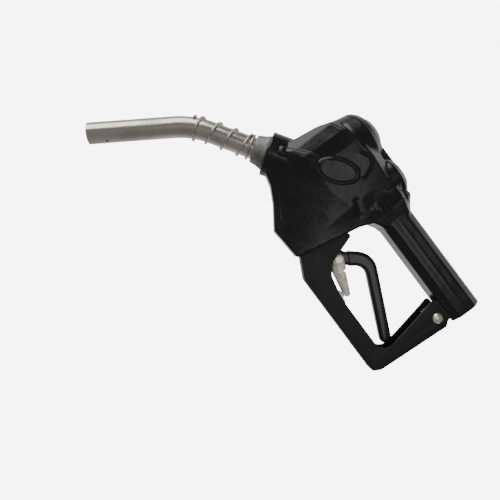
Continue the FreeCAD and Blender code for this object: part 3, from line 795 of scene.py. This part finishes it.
@dataclass
class RoundBar:
    """A bar of the lever behind its cam, rounded from its square solid."""

    shop: Shop
    node: str
    name: str
    slot: str
    material: bpy.types.Material
    cell: float = 0.0008
    rounds: int = 36
    swell: float = 0.00045
    start: float = -0.152
    fade: float = 0.008

    def build(self) -> bpy.types.Object:
        """Make the bar in place of its solid.

        Returns:
            The bar.
        """
        piece = Stock.copy(self.node, self.name)
        Stock.voxels(piece, self.cell)
        square = Stock.rows(piece, "co")
        Stock.relax(piece, self.rounds, hold=False)
        full = Stock.rows(piece, "co") + Stock.rows(piece, "normal") * self.swell
        share = np.clip((square[:, :1] - self.start) / self.fade, 0.0, 1.0)
        Stock.put(piece, square + (full - square) * share)
        self.shop.wear(piece, self.material)
        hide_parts(self.node)
        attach(piece, "lever")
        log.info("%s: %d vertices", self.name, len(square))
        return piece


@dataclass
class WoundWire:
    """The open coil on the spout, wound the other way and a little thicker than its solid."""

    shop: Shop
    extra: float = 0.00025

    def build(self) -> bpy.types.Object:
        """Make the coil in place of its solid.

        Returns:
            The coil.
        """
        piece = Stock.copy("spout_spring", "spout_coil")
        form = bmesh.new()
        form.from_mesh(piece.data)
        for vertex in form.verts:
            vertex.co.y = -vertex.co.y
        bmesh.ops.reverse_faces(form, faces=form.faces)
        form.normal_update()
        for vertex, normal in [(vertex, vertex.normal.copy()) for vertex in form.verts]:
            vertex.co += normal * self.extra
        form.to_mesh(piece.data)
        form.free()
        self.shop.wear(piece, self.shop.wire)
        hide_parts("spout_spring")
        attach(piece, "nozzle_body")
        log.info("coil: %d vertices", len(piece.data.vertices))
        return piece


@dataclass
class CarriedNodes:
    """Solids that keep their shape and take a better finish."""

    shop: Shop

    def dress(self) -> None:
        """Give every solid its finish."""
        shop = self.shop
        wardrobe = {
            shop.body: ("body_casting", "vacuum_cap", "main_cap"),
            shop.spout: ("spout_tube", "sense_port_ferrule"),
            shop.wire: ("spout_spring",),
            shop.collar: ("spout_collar",),
            shop.coat: ("lever",),
            shop.vinyl: ("hand_cover",),
            shop.grip: ("lever_sleeve",),
            shop.powder: ("lever_guard",),
            shop.clip: ("hold_open_clip",),
            shop.screw: ("guard_rear_screw", "guard_rear_nut", "clip_rivet"),
            shop.rubber: ("collar_o_ring", "main_cap_o_ring", "poppet_disc", "diaphragm",
                          "stem_packing", "inlet_seal"),
            shop.brass: ("spout_bushing", "check_valve_seat", "main_poppet", "packing_nut"),
            shop.acetal: ("check_valve_poppet",),
        }
        dressed = set()
        for material, names in wardrobe.items():
            for name in names:
                shop.wear(NODES[name], material)
                dressed.add(name)
        for name, node in NODES.items():
            if name not in dressed:
                shop.wear(node, shop.steel)
        log.info("dressed %d solids", len(NODES))


@dataclass
class Studio:
    """Pale floor, pale surround, soft lights and the camera."""

    floor_level: float = -0.232
    floor_middle: float = -0.2
    floor_radius: float = 6.0
    floor_sides: int = 96
    floor_tone: tuple = (0.05, 0.05, 0.05, 1.0)
    floor_fade: tuple = (-0.05, 0.15)
    world_fade: tuple = (0.0, 0.5)
    centre: Point = (-0.1925, -0.55, -0.14725)
    aim: Point = (-0.19, 0.0, -0.07)
    lens: float = 36.0
    sensor: float = 36.0
    roll_x: float = 0.5976
    roll_z: float = 0.8018
    paper: float = 7.0
    ambient: float = 0.2
    backdrop: float = 0.72
    lights: list = field(default_factory=lambda: [
        ("key", (-0.36, 0.86, 0.38), 6.0, 0.8), ("rim", (0.95, 0.20, -0.15), 2.0, 0.9),
        ("front", (0.15, -0.10, 1.30), 1.5, 0.7)])

    def _axes(self) -> tuple[Vector, Vector, Vector]:
        """Directions that the lights and the camera are placed by.

        Returns:
            The picture's right and up, and the way back to the camera.
        """
        right = Vector((self.roll_x, 0.0, self.roll_z))
        up = Vector((-self.roll_z, 0.0, self.roll_x))
        return right, up, right.cross(up)

    def _floor(self) -> None:
        """A wide pale disc under the nozzle, as bright as the surround."""
        form = bmesh.new()
        bmesh.ops.create_circle(form, cap_ends=True, segments=self.floor_sides,
                                radius=self.floor_radius)
        mesh = bpy.data.meshes.new("floor")
        form.to_mesh(mesh)
        form.free()
        floor = bpy.data.objects.new("floor", mesh)
        floor.location = (self.floor_middle, 0.0, self.floor_level)
        bpy.context.scene.collection.objects.link(floor)
        board = Board("pale_floor")
        depth = board.add("ShaderNodeSeparateXYZ", {}, {"Vector": board.place()}, "Y")
        board.finish(Base_Color=self.floor_tone, Roughness=1.0, Specular_IOR_Level=0.0,
                     Emission_Color=self._level(board, board.ramp(depth, *self.floor_fade)),
                     Emission_Strength=self.paper)
        mesh.materials.append(board.material)

    def _level(self, board: Board, behind: Wire) -> Wire:
        """Brightness over the paper's: full to the camera, and to the object bright only behind it.

        Args:
            board: The floor's or the world's board.
            behind: 0 on the camera's side of the object, 1 behind it.

        Returns:
            The brightness.
        """
        seen = board.add("ShaderNodeLightPath", {}, {}, "Is Camera Ray")
        level = behind * ((self.backdrop - self.ambient) / self.paper) + self.ambient / self.paper
        return level.at_least(seen)

    def _world(self) -> None:
        """A pale surround; the object itself is lit by a dimmer one, brighter behind it."""
        world = bpy.data.worlds.new("surround")
        bpy.context.scene.world = world
        board = Board.of_world(world)
        depth = board.add("ShaderNodeSeparateXYZ", {},
                          {"Vector": board.add("ShaderNodeTexCoord", {}, {}, "Generated")}, "Y")
        back = next(n for n in board.tree.nodes if n.type == "BACKGROUND")
        level = self._level(board, board.ramp(depth, *self.world_fade))
        board.feed(back.inputs["Strength"], level * self.paper)
        back.inputs["Color"].default_value = (1.0, 1.0, 1.0, 1.0)

    def _lights(self) -> None:
        """Soft area lights round the body, placed by the picture's axes."""
        aim = Vector(self.aim)
        right, up, back = self._axes()
        for name, (across, above, near), power, width in self.lights:
            lamp = bpy.data.lights.new(name, "AREA")
            lamp.energy = power
            lamp.size = width
            thing = bpy.data.objects.new(name, lamp)
            spot = aim + right * across + up * above + back * near
            thing.location = spot
            thing.rotation_euler = (aim - spot).to_track_quat("-Z", "Y").to_euler()
            bpy.context.scene.collection.objects.link(thing)

    def _camera(self) -> None:
        """The camera, level with the middle plane and rolled."""
        lens = bpy.data.cameras.new("camera")
        lens.lens = self.lens
        lens.sensor_width = self.sensor
        thing = bpy.data.objects.new("camera", lens)
        turn = Matrix(self._axes()).transposed().to_4x4()
        thing.matrix_world = Matrix.Translation(self.centre) @ turn
        bpy.context.scene.collection.objects.link(thing)
        bpy.context.scene.camera = thing

    def build(self) -> None:
        """Set the stage."""
        self._floor()
        self._world()
        self._lights()
        self._camera()
        log.info("studio ready")


def main() -> None:
    """Build the nozzle, sub-assembly by sub-assembly, then the studio."""
    logging.basicConfig(level=logging.INFO, format="%(name)s: %(message)s")
    shop = Shop()
    CarriedNodes(shop).dress()
    SoftCover(shop).build()
    WoundWire(shop).build()
    RoundedPiece(shop, "lever_guard", "guard_channel", "nozzle_body", "black_powder", shop.powder,
                 0.0011, 4).build()
    RoundedPiece(shop, "hold_open_clip", "clip_stamping", "clip", "yellow_zinc", shop.clip,
                 0.0004, 2).build()
    RoundBar(shop, "lever", "lever_bar", "black_coated", shop.coat).build()
    RoundBar(shop, "lever_sleeve", "lever_grip_skin", "black_grip", shop.grip).build()
    Studio().build()


if __name__ == "__main__":
    main()
